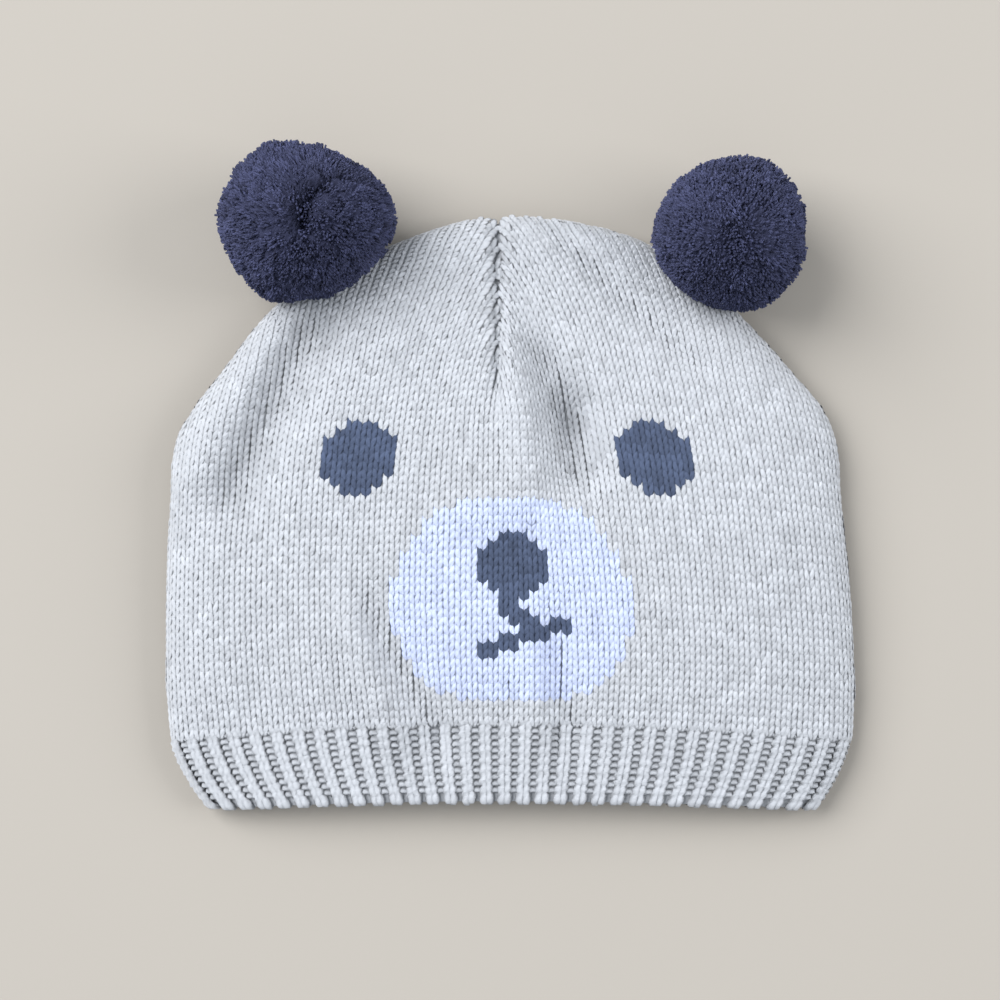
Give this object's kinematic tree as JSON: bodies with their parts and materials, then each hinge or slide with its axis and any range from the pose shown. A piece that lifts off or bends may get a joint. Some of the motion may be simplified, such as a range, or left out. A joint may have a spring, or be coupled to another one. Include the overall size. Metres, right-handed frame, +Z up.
{
  "type": "baby hat",
  "caption": "Knitted baby hat with a ribbed band, a knitted bear face and pompom ears, lying flat with its face up and its hem open.",
  "frame": {"origin": "on the surface that the back lies on, in the middle of the hat's length from hem to top, below the line of the front dart", "axes": "+Z up out of the face, +Y from the hem to the top of the crown, +X to the right as seen with the hem towards the viewer"},
  "size_m": [0.1752, 0.1703, 0.0394],
  "materials": {
    "body_yarn": "pale grey-cream wool, stockinette and one by one rib",
    "muzzle_yarn": "cool white wool, stockinette",
    "face_yarn": "slate blue wool, stockinette",
    "pompom_yarn": "navy cut wool pile"
  },
  "bodies": {
    "root": {"crown": "body_yarn", "rib_band": "body_yarn", "muzzle": "muzzle_yarn", "eye_left": "face_yarn", "eye_right": "face_yarn", "nose_and_mouth": "face_yarn", "pompom_left": "pompom_yarn", "pompom_right": "pompom_yarn"}
  },
  "joints": []
}
